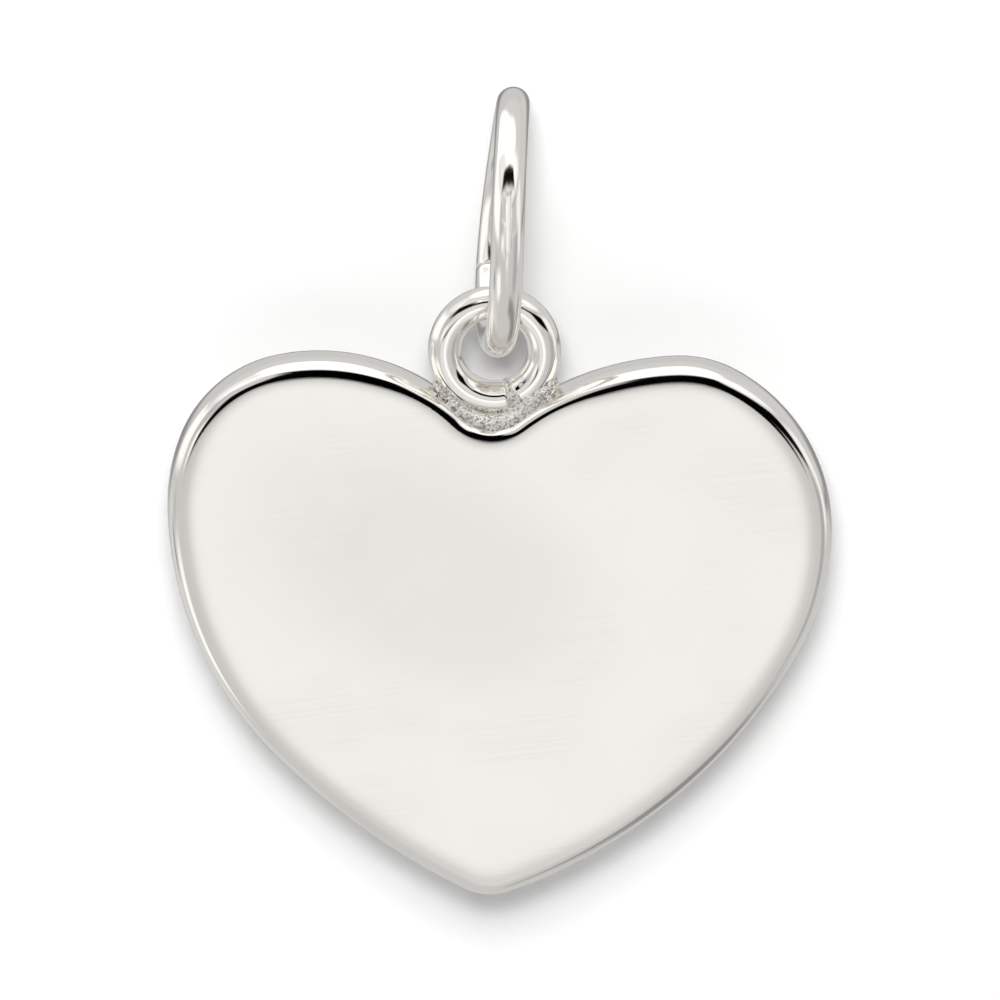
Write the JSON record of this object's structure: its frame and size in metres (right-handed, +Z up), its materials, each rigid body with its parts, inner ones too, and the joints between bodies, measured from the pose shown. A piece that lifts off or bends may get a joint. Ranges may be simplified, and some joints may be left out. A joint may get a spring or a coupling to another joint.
{
  "type": "heart pendant",
  "caption": "Solid polished silver heart with a small wire eyelet soldered into its cleft, hanging from a larger wire jump ring.",
  "frame": {"origin": "mount chain_hang: the point inside the top of the jump ring where a chain bears and the pendant hangs", "axes": "+Z up as it hangs, +Y from the pictured plain back towards the hidden front, +X to the right in the picture"},
  "size_m": [0.0165, 0.0066, 0.0208],
  "materials": {
    "silver": "mirror-polished sterling silver"
  },
  "bodies": {
    "jump_ring": {"jump_ring": "silver"},
    "heart": {"heart": "silver"}
  },
  "joints": [
    {"name": "heart_swing", "type": "hinge", "parent": "jump_ring", "child": "heart", "pos_m": [-0.0004, 0, -0.00582], "axis": [0, 1, 0], "range_deg": [-85, 85]}
  ]
}
